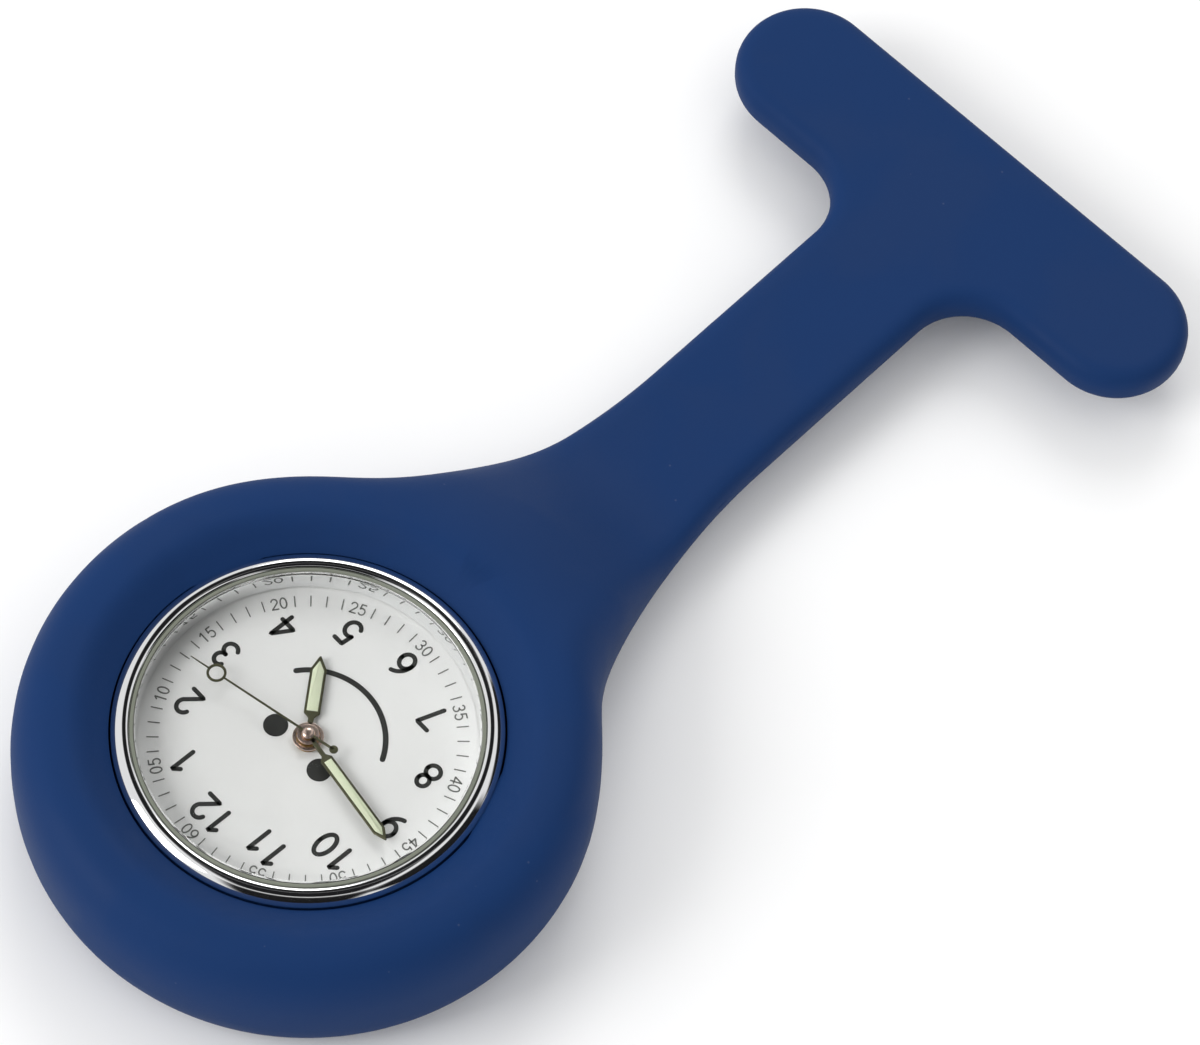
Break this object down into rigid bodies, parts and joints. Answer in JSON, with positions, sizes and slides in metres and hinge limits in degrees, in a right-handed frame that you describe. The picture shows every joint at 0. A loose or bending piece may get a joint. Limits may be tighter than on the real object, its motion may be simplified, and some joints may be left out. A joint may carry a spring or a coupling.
{
  "type": "fob watch",
  "caption": "Silicone fob watch: a fat ring round a small quartz watch hangs upside down on a flat neck from a cross bar with a locking brooch pin.",
  "frame": {"origin": "centre of the flat outer face of the case back", "axes": "+Z out of the dial, +Y along the neck towards the cross bar, 12 o'clock at -Y, crown at -X"},
  "size_m": [0.0406, 0.0909, 0.0136],
  "materials": {
    "silicone": "matte navy silicone",
    "steel": "satin",
    "chrome": "polished",
    "crystal": "clear, flat",
    "gasket": "matte",
    "dial": "satin off-white",
    "dark_hand": "dark grey, semi-gloss",
    "lume": "pale luminous paste",
    "brass": "fine brushed",
    "copper": "enamelled copper wire",
    "magnet": "sintered, dark",
    "plastic": "moulded",
    "board": "green lacquer"
  },
  "bodies": {
    "top_bar": {"silicone_top_bar": "silicone", "brooch_plate": "steel", "brooch_hinge_rivet": "steel", "catch_shell": "steel"},
    "pin_arm": {"brooch_pin_arm": "steel"},
    "catch": {"catch_drum": "steel"},
    "case_holder": {"silicone_case_holder": "silicone", "case_body": "chrome", "crystal": "crystal", "crystal_gasket": "gasket", "case_back": "steel", "back_gasket": "gasket", "crown_tube": "steel", "crown_gasket": "gasket", "movement_holder": "plastic", "main_plate": "brass", "train_bridge": "brass", "bridge_screw_1": "steel", "bridge_screw_2": "steel", "bridge_screw_3": "steel", "clamp_screw": "steel", "stator": "steel", "coil_core": "steel", "coil": "copper", "circuit_board": "board", "quartz_can": "steel", "battery": "steel", "battery_clamp": "steel", "battery_contact": "brass", "dial": "dial", "dial_washer": "steel"},
    "seconds": {"seconds_wheel": "brass", "second_hand": "dark_hand"},
    "step": {"step_wheel": "brass"},
    "rotor": {"rotor_magnet": "magnet", "rotor_arbor": "steel"},
    "third": {"third_wheel": "brass"},
    "centre": {"centre_wheel": "brass", "minute_hand": "dark_hand", "minute_hand_lume": "lume"},
    "minute": {"minute_wheel": "brass"},
    "hour": {"hour_wheel": "brass", "hour_hand": "dark_hand", "hour_hand_lume": "lume"},
    "clutch": {"clutch_wheel": "steel"},
    "stem": {"winding_stem": "steel", "crown": "chrome"},
    "setting_lever": {"setting_lever": "steel"}
  },
  "joints": [
    {"name": "pin_open", "type": "hinge", "parent": "top_bar", "child": "pin_arm", "pos_m": [0.0139, 0.0657, -0.0029], "axis": [0, -1, 0], "range_deg": [0, 70]},
    {"name": "catch_turn", "type": "hinge", "parent": "top_bar", "child": "catch", "pos_m": [-0.0128, 0.0657, -0.0029], "axis": [1, 0, 0], "range_deg": [0, 100]},
    {"name": "neck_flex", "type": "hinge", "parent": "top_bar", "child": "case_holder", "pos_m": [0, 0.0475, 0.0006], "axis": [-1, 0, 0], "range_deg": [-30, 90], "stiffness_Nm_per_rad": 0.0016},
    {"name": "second_hand_turn", "type": "hinge", "parent": "case_holder", "child": "seconds", "pos_m": [0, 0, 0.007], "axis": [0, 0, -1], "continuous": true},
    {"name": "step_wheel_turn", "type": "hinge", "parent": "case_holder", "child": "step", "pos_m": [0.0018, 0.00312, 0.0025], "axis": [0, 0, -1], "continuous": true},
    {"name": "rotor_turn", "type": "hinge", "parent": "case_holder", "child": "rotor", "pos_m": [0.00377, 0.00384, 0.003], "axis": [0, 0, -1], "continuous": true},
    {"name": "third_wheel_turn", "type": "hinge", "parent": "case_holder", "child": "third", "pos_m": [-0.00312, 0.0018, 0.0028], "axis": [0, 0, -1], "continuous": true},
    {"name": "minute_hand_turn", "type": "hinge", "parent": "case_holder", "child": "centre", "pos_m": [0, 0, 0.005], "axis": [0, 0, -1], "continuous": true},
    {"name": "minute_wheel_turn", "type": "hinge", "parent": "case_holder", "child": "minute", "pos_m": [-0.00288, 0, 0.0052], "axis": [0, 0, -1], "continuous": true},
    {"name": "hour_hand_turn", "type": "hinge", "parent": "case_holder", "child": "hour", "pos_m": [0, 0, 0.006], "axis": [0, 0, -1], "continuous": true},
    {"name": "crown_turn", "type": "hinge", "parent": "case_holder", "child": "clutch", "pos_m": [-0.006, 0, 0.0044], "axis": [-1, 0, 0], "continuous": true},
    {"name": "crown_pull", "type": "slide", "parent": "clutch", "child": "stem", "axis": [-1, 0, 0], "range_m": [0, 0.0009]},
    {"name": "setting_lever_turn", "type": "hinge", "parent": "case_holder", "child": "setting_lever", "pos_m": [-0.00875, 0.0024, 0.005], "axis": [0, 0, -1], "range_deg": [0, 25.8]}
  ],
  "couplings": [
    {"joint": "step_wheel_turn", "follows": "second_hand_turn", "ratio": -5},
    {"joint": "rotor_turn", "follows": "second_hand_turn", "ratio": 30},
    {"joint": "third_wheel_turn", "follows": "second_hand_turn", "ratio": -0.13333},
    {"joint": "minute_hand_turn", "follows": "second_hand_turn", "ratio": 0.016667},
    {"joint": "minute_wheel_turn", "follows": "second_hand_turn", "ratio": -0.0055556},
    {"joint": "hour_hand_turn", "follows": "second_hand_turn", "ratio": 0.0013889},
    {"joint": "setting_lever_turn", "follows": "crown_pull", "rad_per_m": 499.2}
  ]
}
